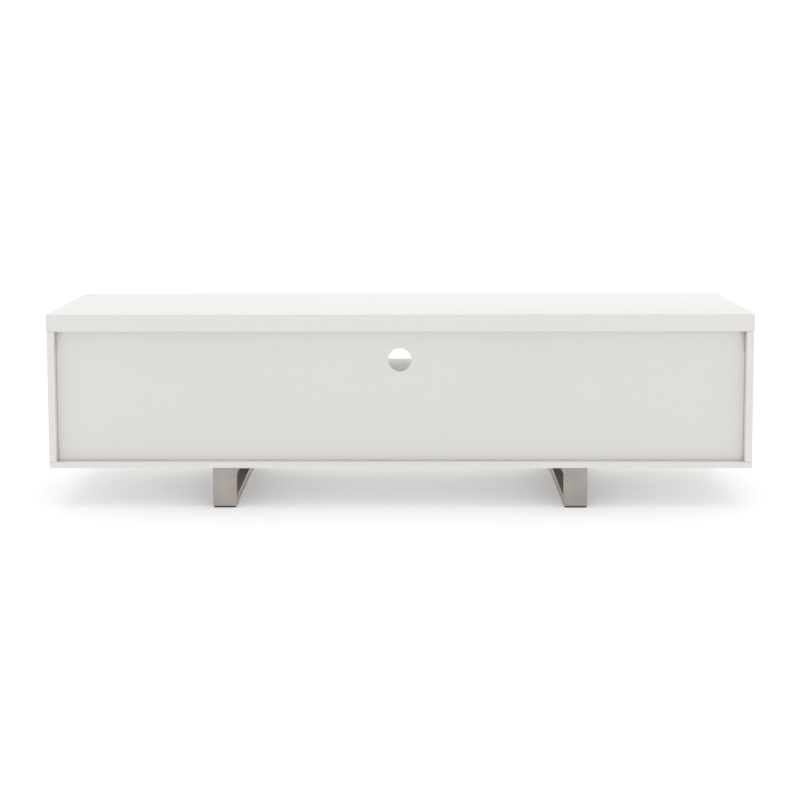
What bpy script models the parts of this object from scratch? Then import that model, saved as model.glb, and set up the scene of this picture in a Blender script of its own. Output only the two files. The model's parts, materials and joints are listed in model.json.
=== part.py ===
"""Low TV stand: a lacquered cabinet with two cupboard doors, a drop-down flap and two sled legs.

The origin lies on the floor under the middle of the stand. +Z is up, and the doors face -Y.
Left and right are as seen from in front of the doors, so left is at -X.
"""

import math

import bmesh
import bpy
from mathutils import Matrix, Vector

MM = 0.001

# Overall size
WIDTH = 1800 * MM
DEPTH = 450 * MM
HEIGHT = 500 * MM

# Boards
SLAB_THICKNESS = 44 * MM
SLAB_OVERHANG = 1 * MM
SIDE_THICKNESS = 18 * MM
BOTTOM_THICKNESS = 16 * MM
BACK_THICKNESS = 16 * MM
BACK_RECESS = 20 * MM
DIVIDER_THICKNESS = 18 * MM
SHELF_THICKNESS = 18 * MM
MEDIA_OPENING = 144 * MM
CABLE_HOLE_DIAMETER = 60 * MM
CABLE_HOLE_DROP = 120 * MM
ARRIS = 0.8 * MM

# Clearances
JOINT_GAP = 0.3 * MM
FIT_GAP = 0.15 * MM
RUNNING_GAP = 0.1 * MM

# Sled legs
LEG_SPACING = 900 * MM
LEG_HEIGHT = 99 * MM
LEG_INSET = 1 * MM
BAR_WIDTH = 60 * MM
BAR_THICKNESS = 20 * MM
BAR_WALL = 2 * MM
BAR_CORNER = 2.5 * MM
GLIDE_THICKNESS = 4 * MM
GLIDE_LENGTH = 60 * MM
GLIDE_MARGIN = 1.5 * MM

# Leg screws
SCREW_RADIUS = 2.5 * MM
SCREW_HEAD_RADIUS = 5 * MM
SCREW_HEAD_HEIGHT = 3 * MM
SCREW_HEAD_TAPER = 0.75 * MM
SCREW_SOCKET_RADIUS = 1.8 * MM
SCREW_SOCKET_DEPTH = 1.8 * MM
SCREW_GRIP = 12 * MM
SCREW_ACCESS_RADIUS = 6.5 * MM
SCREW_FROM_POST = 40 * MM
SCREWS_PER_LEG = 4

# Doors and flap
DOOR_THICKNESS = 18 * MM
DOOR_SETBACK = 1 * MM
DOOR_GAP = 3 * MM
DOOR_EDGE_RADIUS = 2 * MM
FINGER_GAP = 16 * MM
FLAP_FINGER_GAP = 14 * MM
SWING_CLEARANCE = 0.8 * MM

# Pivots
PIN_RADIUS = 3 * MM
PIN_IN_DOOR = 15 * MM
PIN_IN_BUSH = 8 * MM
PIN_COLLAR_RADIUS = 5 * MM
BUSH_RADIUS = 5 * MM
BUSH_LENGTH = 9 * MM
BUSH_FLANGE_RADIUS = 7 * MM
BUSH_FLANGE = 0.9 * MM

# Quadrant stays of the flap
STAY_BELOW_EDGE = 30 * MM
STAY_WIDTH = 6 * MM
STAY_THICKNESS = 2 * MM
STAY_FROM_DIVIDER = 8 * MM
STAY_SLACK = 0.5 * MM
STAY_FOOT = 14 * MM
STAY_STOP_RADIUS = 2 * MM
STAY_STOP_WIDTH = 5 * MM
STAY_STOP_CLEARANCE = 2.7 * MM
FLAP_OPENING = math.radians(90)
GUIDE_STANDOFF = 4 * MM
GUIDE_WALL = 3 * MM
GUIDE_PLATE = 2 * MM
GUIDE_PLATE_LENGTH = 20 * MM
GUIDE_HEIGHT = 16 * MM
GUIDE_REACH = 12 * MM

# Grip channels
CHANNEL_WALL = 1.5 * MM
CHANNEL_DEPTH = 40 * MM
CHANNEL_OVERLAP = 12 * MM

# Magnetic catches
STRIKE_THICKNESS = 1.5 * MM
STRIKE_HEIGHT = 10 * MM
STRIKE_FROM_TOP = 2 * MM
CATCH_AIR = 0.5 * MM
CATCH_LENGTH = 40 * MM
CATCH_DEPTH = 30 * MM
CATCH_HEIGHT = 12 * MM
CATCH_FROM_EDGE = 50 * MM
FLAP_CATCH_REACH = 14 * MM
CATCH_NOTCH_GAP = 1 * MM

# Cupboard shelves
SHELF_SIDE_GAP = 1 * MM
SHELF_END_GAP = 3 * MM
PIN_HOLE_SPACING = 32 * MM
PIN_COLUMN_INSET = 60 * MM
SHELF_PIN_RADIUS = 2.5 * MM
SHELF_PIN_COLLAR = 3.5 * MM
SHELF_PIN_IN_BOARD = 9 * MM
SHELF_PIN_OUT = 8 * MM
HOLE_END_GAP = 1 * MM


def pivot_from_edge():
    """How far in from its edge a door turns about a pivot in mid-thickness, so that its rounded corner
    swings past the board beside it with the swing clearance to spare."""
    rise = DOOR_THICKNESS / 2 - DOOR_EDGE_RADIUS
    room = DOOR_GAP - SWING_CLEARANCE
    return DOOR_EDGE_RADIUS + (rise**2 - room**2) / (2 * room)


# Levels and faces that follow from the sizes above
GUIDE_FRONT = DOOR_THICKNESS / 2 + GUIDE_STANDOFF
GUIDE_REAR = GUIDE_FRONT + GUIDE_WALL
STOP_BEHIND_GUIDE = GUIDE_REAR + JOINT_GAP + STAY_STOP_RADIUS
BODY_X = WIDTH / 2 - SLAB_OVERHANG
BODY_Y = DEPTH / 2 - SLAB_OVERHANG
LEG_TOP = GLIDE_THICKNESS + LEG_HEIGHT
FLOOR_Z = LEG_TOP + BOTTOM_THICKNESS
CEILING_Z = HEIGHT - SLAB_THICKNESS
MIDDLE_Z = (FLOOR_Z + CEILING_Z) / 2
INNER_X = BODY_X - SIDE_THICKNESS
BACK_REAR_Y = BODY_Y - BACK_RECESS
BACK_FRONT_Y = BACK_REAR_Y - BACK_THICKNESS
BAY_WIDTH = (2 * INNER_X - 2 * DIVIDER_THICKNESS) / 3
DIVIDER_INNER_X = BAY_WIDTH / 2
DIVIDER_OUTER_X = DIVIDER_INNER_X + DIVIDER_THICKNESS
MEDIA_SHELF_Z = CEILING_Z - MEDIA_OPENING
NICHE_CEILING_Z = MEDIA_SHELF_Z - SHELF_THICKNESS
DOOR_FRONT_Y = -BODY_Y + DOOR_SETBACK
DOOR_REAR_Y = DOOR_FRONT_Y + DOOR_THICKNESS
DOOR_FREE_X = DIVIDER_OUTER_X + FINGER_GAP
DOOR_TOP_Z = CEILING_Z - DOOR_GAP
DOOR_BOTTOM_Z = FLOOR_Z + DOOR_GAP
PIVOT_Y = DOOR_FRONT_Y + DOOR_THICKNESS / 2
DOOR_PIVOT_X = INNER_X - DOOR_GAP - pivot_from_edge()
FLAP_TOP_Z = NICHE_CEILING_Z - FLAP_FINGER_GAP
FLAP_PIVOT_Z = FLOOR_Z + STOP_BEHIND_GUIDE + STAY_STOP_RADIUS + STAY_STOP_CLEARANCE
CHANNEL_REAR_Y = DOOR_FRONT_Y + CHANNEL_DEPTH
STAY_RADIUS = FLAP_TOP_Z - STAY_BELOW_EDGE - FLAP_PIVOT_Z
STRIKE_FRONT_Y = DOOR_REAR_Y + JOINT_GAP
CATCH_FRONT_Y = STRIKE_FRONT_Y + STRIKE_THICKNESS + CATCH_AIR

# Facets round a circle
PIVOT_FACETS = 20
FASTENER_FACETS = 12
HOLE_FACETS = 12
CABLE_HOLE_FACETS = 48
ARC_STEPS = 20
CUT_PAST = 1 * MM

SIDES = (("left", -1), ("right", 1))
UP = Vector((0, 0, 1))
ACROSS = Vector((1, 0, 0))

# Finishes: colour, roughness, metallic
LACQUER = ((0.80, 0.78, 0.75), 0.45, 0.0)
BRUSHED_STEEL = ((0.52, 0.49, 0.46), 0.32, 1.0)
ZINC_STEEL = ((0.62, 0.63, 0.65), 0.35, 1.0)
ALUMINIUM = ((0.66, 0.65, 0.63), 0.30, 1.0)
NYLON = ((0.85, 0.85, 0.82), 0.50, 0.0)
CATCH_PLASTIC = ((0.72, 0.71, 0.68), 0.45, 0.0)
FELT = ((0.06, 0.055, 0.05), 0.95, 0.0)


def clear_scene():
    for obj in list(bpy.data.objects):
        bpy.data.objects.remove(obj, do_unlink=True)


def new_collection(name):
    collection = bpy.data.collections.new(name)
    bpy.context.scene.collection.children.link(collection)
    return collection


def give_material(obj, finish):
    colour, roughness, metallic = finish
    material = bpy.data.materials.new(obj.name)
    material.use_nodes = True
    shader = material.node_tree.nodes["Principled BSDF"]
    shader.inputs["Base Color"].default_value = (*colour, 1)
    shader.inputs["Roughness"].default_value = roughness
    shader.inputs["Metallic"].default_value = metallic
    obj.data.materials.clear()
    obj.data.materials.append(material)


def add_object(name, data, place, turn=None, parent=None):
    """Adds an object at a world place; a parent is an empty that is only moved, never turned."""
    obj = bpy.data.objects.new(name, data)
    PARTS.objects.link(obj)
    obj.parent = parent
    obj.location = Vector(place) - (parent.location if parent else Vector())
    if turn is not None:
        obj.rotation_euler = turn.to_euler()
    return obj


def as_cutter(obj):
    """Turns an object into a helper that only takes part in Booleans."""
    PARTS.objects.unlink(obj)
    CUTTERS.objects.link(obj)
    obj.hide_render = True
    obj.display_type = "WIRE"
    return obj


def pivot_empty(name, place):
    return add_object(name, None, place)


def box_mesh(name, size):
    mesh = bpy.data.meshes.new(name)
    shape = bmesh.new()
    bmesh.ops.create_cube(shape, size=1)
    bmesh.ops.scale(shape, vec=size, verts=shape.verts)
    shape.to_mesh(mesh)
    shape.free()
    return mesh


def box(name, x_range, y_range, z_range, parent=None):
    spans = [sorted(pair) for pair in (x_range, y_range, z_range)]
    size = Vector(high - low for low, high in spans)
    centre = Vector((high + low) / 2 for low, high in spans)
    return add_object(name, box_mesh(name, size), centre, parent=parent)


def bevel(obj, radius, segments=2):
    modifier = obj.modifiers.new("Bevel", "BEVEL")
    modifier.width = radius
    modifier.segments = segments
    modifier.limit_method = "ANGLE"
    modifier.angle_limit = math.radians(40)


def board(name, x_range, y_range, z_range, finish=LACQUER, parent=None, radius=ARRIS, segments=2):
    """A rectangular panel with eased edges."""
    obj = box(name, x_range, y_range, z_range, parent)
    bevel(obj, radius, segments)
    give_material(obj, finish)
    return obj


def combine(obj, other, operation="DIFFERENCE"):
    modifier = obj.modifiers.new(other.name, "BOOLEAN")
    modifier.operation = operation
    modifier.solver = "EXACT"
    modifier.object = other


def cylinder_mesh(name, radius, low, high, facets=HOLE_FACETS):
    """A cylinder along local Z from low to high."""
    mesh = bpy.data.meshes.new(name)
    shape = bmesh.new()
    bmesh.ops.create_cone(
        shape, cap_ends=True, segments=facets, radius1=radius, radius2=radius, depth=high - low
    )
    bmesh.ops.translate(shape, vec=(0, 0, (low + high) / 2), verts=shape.verts)
    shape.to_mesh(mesh)
    shape.free()
    return mesh


def bore(obj, name, place, out, radius, low, high, facets=HOLE_FACETS):
    """Drills obj from low to high along out, measured from a world place."""
    mesh = cylinder_mesh(name, radius, low, high, facets)
    cutter = as_cutter(add_object(name, mesh, place, along(out), obj.parent))
    combine(obj, cutter)


def along(direction):
    """The rotation that lays local Z along a direction."""
    return direction.to_track_quat("Z", "Y").to_matrix()


def turned(name, profile, place, out, finish, parent=None, closed=False, facets=FASTENER_FACETS):
    """A turned piece: (radius, height) points run down its outer side about local Z."""
    mesh = bpy.data.meshes.new(name)
    points = [(radius, 0, height) for radius, height in profile]
    edges = [(index, index + 1) for index in range(len(points) - 1)]
    if closed:
        edges.append((len(points) - 1, 0))
    mesh.from_pydata(points, edges, [])
    obj = add_object(name, mesh, place, along(out), parent)
    spin = obj.modifiers.new("Screw", "SCREW")
    spin.steps = facets
    spin.render_steps = facets
    spin.use_merge_vertices = True
    spin.merge_threshold = 0.01 * MM
    spin.use_smooth_shade = True
    give_material(obj, finish)
    return obj


def plate(name, outline, thickness, place, turn=None, parent=None):
    """A flat outline in local XY, made solid by half its thickness to each side."""
    curve = bpy.data.curves.new(name, "CURVE")
    curve.dimensions = "2D"
    curve.fill_mode = "BOTH"
    curve.extrude = thickness / 2
    spline = curve.splines.new("POLY")
    spline.points.add(len(outline) - 1)
    for point, (x, y) in zip(spline.points, outline):
        point.co = (x, y, 0, 1)
    spline.use_cyclic_u = True
    drawn = add_object(name, curve, (0, 0, 0))
    graph = bpy.context.evaluated_depsgraph_get()
    mesh = bpy.data.meshes.new_from_object(drawn.evaluated_get(graph))
    bpy.data.objects.remove(drawn)
    shape = bmesh.new()
    shape.from_mesh(mesh)
    bmesh.ops.remove_doubles(shape, verts=shape.verts, dist=0.001 * MM)
    bmesh.ops.recalc_face_normals(shape, faces=shape.faces)
    shape.to_mesh(mesh)
    shape.free()
    return add_object(name, mesh, place, turn, parent)


# Lays a plate's local X along world Y, its local Y upright and its thickness across the stand.
SIDE_ON = Matrix(((0, 0, 1), (1, 0, 0), (0, 1, 0)))


def make_carcass():
    """The boards of the cabinet body. Returns them by name."""
    upright = (FLOOR_Z + JOINT_GAP, CEILING_Z - JOINT_GAP)
    inside = (-BODY_Y, BACK_FRONT_Y - JOINT_GAP)
    boards = {
        "slab": board("top_slab", (-WIDTH / 2, WIDTH / 2), (-DEPTH / 2, DEPTH / 2), (CEILING_Z, HEIGHT)),
        "bottom": board("bottom_panel", (-BODY_X, BODY_X), (-BODY_Y, BODY_Y), (LEG_TOP + JOINT_GAP, FLOOR_Z)),
        "back": board(
            "back_panel",
            (-INNER_X + JOINT_GAP, INNER_X - JOINT_GAP),
            (BACK_FRONT_Y, BACK_REAR_Y),
            upright,
        ),
        "shelf": board(
            "media_shelf",
            (-DIVIDER_INNER_X + JOINT_GAP, DIVIDER_INNER_X - JOINT_GAP),
            inside,
            (NICHE_CEILING_Z, MEDIA_SHELF_Z),
        ),
    }
    for word, side in SIDES:
        boards[word, "side"] = board(
            f"{word}_side_panel", (side * INNER_X, side * BODY_X), (-BODY_Y, BODY_Y), upright
        )
        boards[word, "divider"] = board(
            f"{word}_divider", (side * DIVIDER_INNER_X, side * DIVIDER_OUTER_X), inside, upright
        )
    bore(
        boards["back"],
        "cable_hole",
        (0, BACK_FRONT_Y, HEIGHT - CABLE_HOLE_DROP),
        Vector((0, 1, 0)),
        CABLE_HOLE_DIAMETER / 2,
        -CUT_PAST,
        BACK_THICKNESS + CUT_PAST,
        CABLE_HOLE_FACETS,
    )
    return boards


def make_cupboard_shelf(word, side, boards):
    """An adjustable shelf, its four pins, and the line-bored holes that the pins can go in."""
    front = CHANNEL_REAR_Y + SHELF_END_GAP
    underside = MIDDLE_Z + SHELF_PIN_COLLAR + JOINT_GAP
    board(
        f"{word}_cupboard_shelf",
        (side * (DIVIDER_OUTER_X + SHELF_SIDE_GAP), side * (INNER_X - SHELF_SIDE_GAP)),
        (front, BACK_FRONT_Y - SHELF_END_GAP),
        (underside, underside + SHELF_THICKNESS),
    )
    columns = (("front", -BODY_Y + PIN_COLUMN_INSET), ("rear", BACK_FRONT_Y - PIN_COLUMN_INSET))
    faces = (
        ("outer", INNER_X, -side, boards[word, "side"]),
        ("inner", DIVIDER_OUTER_X, side, boards[word, "divider"]),
    )
    for face, distance, out, panel in faces:
        for row, y in columns:
            place = Vector((side * distance, y, MIDDLE_Z))
            for step in (-1, 0, 1):
                bore(
                    panel,
                    f"{word}_{row}_{face}_hole_{step + 2}",
                    place + UP * step * PIN_HOLE_SPACING,
                    ACROSS * out,
                    SHELF_PIN_RADIUS + FIT_GAP,
                    -SHELF_PIN_IN_BOARD - HOLE_END_GAP,
                    CUT_PAST,
                )
            profile = (
                (0, SHELF_PIN_OUT),
                (SHELF_PIN_COLLAR, SHELF_PIN_OUT),
                (SHELF_PIN_COLLAR, JOINT_GAP),
                (SHELF_PIN_RADIUS, JOINT_GAP),
                (SHELF_PIN_RADIUS, -SHELF_PIN_IN_BOARD),
                (0, -SHELF_PIN_IN_BOARD),
            )
            turned(f"{word}_shelf_pin_{row}_{face}", profile, place, ACROSS * out, ZINC_STEEL)


def make_leg(word, side, bottom):
    """A sled leg: a closed loop of rectangular tube, its glides and its screws."""
    x = side * LEG_SPACING / 2
    end = BODY_Y - LEG_INSET
    low = GLIDE_THICKNESS + JOINT_GAP
    sides = (x - BAR_WIDTH / 2, x + BAR_WIDTH / 2)
    window_y = (BAR_THICKNESS - end, end - BAR_THICKNESS)
    window_z = (GLIDE_THICKNESS + BAR_THICKNESS, LEG_TOP - BAR_THICKNESS)
    leg = box(f"{word}_leg_frame", sides, (-end, end), (low, LEG_TOP))
    give_material(leg, BRUSHED_STEEL)
    past = (sides[0] - CUT_PAST, sides[1] + CUT_PAST)
    combine(leg, as_cutter(box(f"{word}_leg_window", past, window_y, window_z)))
    bevel(leg, BAR_CORNER, 3)
    hollow = as_cutter(
        box(
            f"{word}_leg_hollow",
            (sides[0] + BAR_WALL, sides[1] - BAR_WALL),
            (BAR_WALL - end, end - BAR_WALL),
            (low + BAR_WALL, LEG_TOP - BAR_WALL),
        )
    )
    core = box(
        f"{word}_leg_core",
        past,
        (window_y[0] - BAR_WALL, window_y[1] + BAR_WALL),
        (window_z[0] - BAR_WALL, window_z[1] + BAR_WALL),
    )
    combine(hollow, as_cutter(core))
    combine(leg, hollow)
    make_leg_screws(word, x, window_y[1], leg, bottom)
    for end_word, end_sign in (("front", -1), ("rear", 1)):
        board(
            f"{word}_{end_word}_glide",
            (sides[0] + GLIDE_MARGIN, sides[1] - GLIDE_MARGIN),
            (end_sign * (end - GLIDE_MARGIN - GLIDE_LENGTH), end_sign * (end - GLIDE_MARGIN)),
            (0, GLIDE_THICKNESS),
            FELT,
        )


def make_leg_screws(word, x, window_end, leg, bottom):
    """Screws whose heads bear on the inside of the top rail; each has an access hole below it."""
    reach = window_end - SCREW_FROM_POST
    head_top = -BAR_WALL - JOINT_GAP
    head_low = head_top - SCREW_HEAD_HEIGHT
    profile = (
        (0, SCREW_GRIP),
        (SCREW_RADIUS, SCREW_GRIP - SCREW_RADIUS),
        (SCREW_RADIUS, head_top),
        (SCREW_HEAD_RADIUS, head_top),
        (SCREW_HEAD_RADIUS - SCREW_HEAD_TAPER, head_low),
        (SCREW_SOCKET_RADIUS, head_low),
        (SCREW_SOCKET_RADIUS, head_low + SCREW_SOCKET_DEPTH),
        (0, head_low + SCREW_SOCKET_DEPTH),
    )
    for number in range(SCREWS_PER_LEG):
        y = reach * (2 * number / (SCREWS_PER_LEG - 1) - 1)
        place = Vector((x, y, LEG_TOP))
        label = f"{word}_leg_screw_{number + 1}"
        turned(label, profile, place, UP, ZINC_STEEL)
        hole = SCREW_RADIUS + FIT_GAP
        bore(bottom, f"{label}_pilot", place, UP, hole, -CUT_PAST, SCREW_GRIP + HOLE_END_GAP)
        bore(leg, f"{label}_hole", place, UP, hole, -BAR_WALL - CUT_PAST, CUT_PAST)
        bore(
            leg,
            f"{label}_access",
            place,
            UP,
            SCREW_ACCESS_RADIUS,
            -BAR_THICKNESS - CUT_PAST,
            -BAR_THICKNESS + BAR_WALL + CUT_PAST,
        )


def make_pivot(label, place, out, fixed, moving, parent):
    """A bush in the fixed board and a pin in the moving one; out points from the bush to the moving board."""
    flange_end = JOINT_GAP + BUSH_FLANGE
    bush = (
        (BUSH_FLANGE_RADIUS, flange_end),
        (BUSH_FLANGE_RADIUS, JOINT_GAP),
        (BUSH_RADIUS, JOINT_GAP),
        (BUSH_RADIUS, -BUSH_LENGTH),
        (PIN_RADIUS + RUNNING_GAP, -BUSH_LENGTH),
        (PIN_RADIUS + RUNNING_GAP, flange_end),
    )
    pin = (
        (0, DOOR_GAP + PIN_IN_DOOR),
        (PIN_RADIUS, DOOR_GAP + PIN_IN_DOOR),
        (PIN_RADIUS, DOOR_GAP - JOINT_GAP),
        (PIN_COLLAR_RADIUS, DOOR_GAP - JOINT_GAP),
        (PIN_COLLAR_RADIUS, flange_end + JOINT_GAP),
        (PIN_RADIUS, flange_end + JOINT_GAP),
        (PIN_RADIUS, -PIN_IN_BUSH),
        (0, -PIN_IN_BUSH),
    )
    turned(f"{label}_bush", bush, place, out, NYLON, closed=True, facets=PIVOT_FACETS)
    turned(f"{label}_pin", pin, place, out, ZINC_STEEL, parent, facets=PIVOT_FACETS)
    bore(
        fixed,
        f"{label}_bush_hole",
        place,
        out,
        BUSH_RADIUS + FIT_GAP,
        -BUSH_LENGTH - HOLE_END_GAP,
        CUT_PAST,
        PIVOT_FACETS,
    )
    bore(
        moving,
        f"{label}_pin_hole",
        place,
        out,
        PIN_RADIUS + FIT_GAP,
        DOOR_GAP - CUT_PAST,
        DOOR_GAP + PIN_IN_DOOR + HOLE_END_GAP,
        PIVOT_FACETS,
    )


def make_door(word, side, boards):
    """A cupboard door on top and bottom pivots, with its strike plate, catch and grip channel."""
    pivot = pivot_empty(f"{word}_door_pivot", (side * DOOR_PIVOT_X, PIVOT_Y, MIDDLE_Z))
    door = board(
        f"{word}_door",
        (side * DOOR_FREE_X, side * (INNER_X - DOOR_GAP)),
        (DOOR_FRONT_Y, DOOR_REAR_Y),
        (DOOR_BOTTOM_Z, DOOR_TOP_Z),
        parent=pivot,
        radius=DOOR_EDGE_RADIUS,
        segments=3,
    )
    low = (side * DOOR_PIVOT_X, PIVOT_Y, FLOOR_Z)
    high = (side * DOOR_PIVOT_X, PIVOT_Y, CEILING_Z)
    make_pivot(f"{word}_door_bottom", low, UP, boards["bottom"], door, pivot)
    make_pivot(f"{word}_door_top", high, -UP, boards["slab"], door, pivot)
    catch_x = DOOR_FREE_X + CATCH_FROM_EDGE
    across = (side * (catch_x - CATCH_LENGTH / 2), side * (catch_x + CATCH_LENGTH / 2))
    strike_top = DOOR_TOP_Z - STRIKE_FROM_TOP
    board(
        f"{word}_door_strike",
        across,
        (STRIKE_FRONT_Y, STRIKE_FRONT_Y + STRIKE_THICKNESS),
        (strike_top - STRIKE_HEIGHT, strike_top),
        ZINC_STEEL,
        pivot,
        STRIKE_THICKNESS / 4,
    )
    board(
        f"{word}_door_catch",
        across,
        (CATCH_FRONT_Y, CATCH_FRONT_Y + CATCH_DEPTH),
        (CEILING_Z - JOINT_GAP - CATCH_HEIGHT, CEILING_Z - JOINT_GAP),
        CATCH_PLASTIC,
    )
    make_door_channel(word, side)


def channel_outline(side, reach):
    """An L with one leg back along a board and the other across behind the finger gap."""
    return [
        (0, 0),
        (0, CHANNEL_DEPTH),
        (side * reach, CHANNEL_DEPTH),
        (side * reach, CHANNEL_DEPTH - CHANNEL_WALL),
        (side * CHANNEL_WALL, CHANNEL_DEPTH - CHANNEL_WALL),
        (side * CHANNEL_WALL, 0),
    ]


def make_door_channel(word, side):
    height = CEILING_Z - FLOOR_Z - 2 * JOINT_GAP
    place = (side * (DIVIDER_OUTER_X + JOINT_GAP), DOOR_FRONT_Y, MIDDLE_Z)
    outline = channel_outline(side, FINGER_GAP + CHANNEL_OVERLAP)
    channel = plate(f"{word}_grip_channel", outline, height, place)
    give_material(channel, ALUMINIUM)


def make_flap(boards):
    """The drop-down flap on its two pivots, with its stays, guides, catch and grip channel."""
    pivot = pivot_empty("flap_pivot", (0, PIVOT_Y, FLAP_PIVOT_Z))
    edge = DIVIDER_INNER_X - DOOR_GAP
    flap = board(
        "flap",
        (-edge, edge),
        (DOOR_FRONT_Y, DOOR_REAR_Y),
        (DOOR_BOTTOM_Z, FLAP_TOP_Z),
        parent=pivot,
        radius=DOOR_EDGE_RADIUS,
        segments=3,
    )
    for word, side in SIDES:
        place = (side * DIVIDER_INNER_X, PIVOT_Y, FLAP_PIVOT_Z)
        make_pivot(f"flap_{word}", place, ACROSS * -side, boards[word, "divider"], flap, pivot)
        make_stay(word, side, pivot)
        make_guide(word, side)
    make_flap_channel(make_flap_catch(pivot))


def arc_band(width, start, end):
    """A band of the stay's circle; angles run from upright towards the back of the stand."""
    angles = [start + (end - start) * step / ARC_STEPS for step in range(ARC_STEPS + 1)]

    def arc(radius):
        return [(radius * math.sin(angle), radius * math.cos(angle)) for angle in angles]

    return arc(STAY_RADIUS + width / 2) + arc(STAY_RADIUS - width / 2)[::-1]


def make_stay(word, side, pivot):
    """A quarter-circle stay with a foot on the flap; its stop meets the guide when the flap is open."""
    x = side * (DIVIDER_INNER_X - STAY_FROM_DIVIDER)
    stop_angle = FLAP_OPENING + math.asin(STOP_BEHIND_GUIDE / STAY_RADIUS)
    foot_front = STRIKE_FRONT_Y - PIVOT_Y
    start = math.asin((foot_front + STAY_THICKNESS / 2) / STAY_RADIUS)
    end = stop_angle + STAY_STOP_RADIUS / STAY_RADIUS / 2
    stay = plate(
        f"{word}_stay",
        arc_band(STAY_WIDTH, start, end),
        STAY_THICKNESS,
        (x, PIVOT_Y, FLAP_PIVOT_Z),
        SIDE_ON,
        pivot,
    )
    foot = box(
        f"{word}_stay_foot",
        (x + side * STAY_THICKNESS / 2, x - side * (STAY_FOOT - STAY_THICKNESS / 2)),
        (STRIKE_FRONT_Y, STRIKE_FRONT_Y + STAY_THICKNESS),
        (FLAP_PIVOT_Z + STAY_RADIUS - STAY_FOOT, FLAP_PIVOT_Z + STAY_RADIUS + STAY_FOOT / 2),
        pivot,
    )
    stop_place = (
        x,
        PIVOT_Y + STAY_RADIUS * math.sin(stop_angle),
        FLAP_PIVOT_Z + STAY_RADIUS * math.cos(stop_angle),
    )
    half = STAY_STOP_WIDTH / 2
    stop_mesh = cylinder_mesh(f"{word}_stay_stop", STAY_STOP_RADIUS, -half, half)
    stop = add_object(f"{word}_stay_stop", stop_mesh, stop_place, along(ACROSS), pivot)
    combine(stay, as_cutter(foot), "UNION")
    combine(stay, as_cutter(stop), "UNION")
    give_material(stay, ZINC_STEEL)


def make_guide(word, side):
    """An angle bracket on the divider, slotted for the stay."""
    face = side * (DIVIDER_INNER_X - JOINT_GAP)
    middle = FLAP_PIVOT_Z + STAY_RADIUS * math.cos(math.asin((GUIDE_FRONT + GUIDE_WALL / 2) / STAY_RADIUS))
    heights = (middle - GUIDE_HEIGHT / 2, middle + GUIDE_HEIGHT / 2)
    guide = box(
        f"{word}_stay_guide",
        (face, face - side * GUIDE_REACH),
        (PIVOT_Y + GUIDE_FRONT, PIVOT_Y + GUIDE_REAR),
        heights,
    )
    flange = box(
        f"{word}_stay_guide_plate",
        (face, face - side * GUIDE_PLATE),
        (PIVOT_Y + GUIDE_FRONT, PIVOT_Y + GUIDE_FRONT + GUIDE_PLATE_LENGTH),
        heights,
    )
    slot = plate(
        f"{word}_stay_guide_slot",
        arc_band(STAY_WIDTH + 2 * STAY_SLACK, 0, FLAP_OPENING),
        STAY_THICKNESS + 2 * STAY_SLACK,
        (side * (DIVIDER_INNER_X - STAY_FROM_DIVIDER), PIVOT_Y, FLAP_PIVOT_Z),
        SIDE_ON,
    )
    combine(guide, as_cutter(flange), "UNION")
    combine(guide, as_cutter(slot))
    give_material(guide, ZINC_STEEL)


def make_flap_catch(pivot):
    """A catch on the left divider, above the stay's circle, and its strike plate on the flap.
    Returns the catch's spans."""
    high = FLAP_TOP_Z - STRIKE_FROM_TOP
    face = -DIVIDER_INNER_X + JOINT_GAP
    strike_x = -DIVIDER_INNER_X + DOOR_GAP + DOOR_EDGE_RADIUS
    spans = (
        (face, face + FLAP_CATCH_REACH),
        (CATCH_FRONT_Y, CATCH_FRONT_Y + CATCH_DEPTH),
        (high - CATCH_HEIGHT, high),
    )
    board("flap_catch", *spans, CATCH_PLASTIC)
    board(
        "flap_strike",
        (strike_x, strike_x + FLAP_CATCH_REACH),
        (STRIKE_FRONT_Y, STRIKE_FRONT_Y + STRIKE_THICKNESS),
        (high - STRIKE_HEIGHT, high),
        ZINC_STEEL,
        pivot,
        STRIKE_THICKNESS / 4,
    )
    return spans


def make_flap_channel(catch_spans):
    """The channel under the media shelf, with one leg against the shelf and a notch round the catch."""
    reach = FLAP_FINGER_GAP + CHANNEL_OVERLAP
    outline = [(y, z) for z, y in channel_outline(-1, reach)]
    place = (0, DOOR_FRONT_Y, NICHE_CEILING_Z - JOINT_GAP)
    channel = plate("flap_grip_channel", outline, BAY_WIDTH - 2 * JOINT_GAP, place, SIDE_ON)
    notch = [(low - CATCH_NOTCH_GAP, high + CATCH_NOTCH_GAP) for low, high in catch_spans]
    notch[2] = (notch[2][1] - reach, notch[2][1])
    combine(channel, as_cutter(box("catch_notch", *notch)))
    give_material(channel, ALUMINIUM)


def shade_round_pieces():
    for obj in PARTS.objects:
        if obj.type == "MESH":
            obj.data.shade_smooth()
            obj.data.set_sharp_from_angle(angle=math.radians(35))


def main():
    boards = make_carcass()
    for word, side in SIDES:
        make_cupboard_shelf(word, side, boards)
        make_leg(word, side, boards["bottom"])
        make_door(word, side, boards)
    make_flap(boards)
    shade_round_pieces()


clear_scene()
PARTS = new_collection("tv_stand_with_doors")
CUTTERS = new_collection("cutters")
main()
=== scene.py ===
# %% [markdown]
# # A lacquered TV stand on steel sled legs
# This lesson dresses a packed furniture model: a low cabinet with two cupboard doors, a drop-down
# flap, an open media niche and two sled legs. The frame already holds every board, pin and joint in
# its place. Here each visible piece gets its fine surface and its finish, worked out from the
# frame's own boxes. The stand faces -Y, its back is at +Y, and the floor is z = 0. All sizes are in
# metres.

# %% Load the frame
import json
import math

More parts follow.
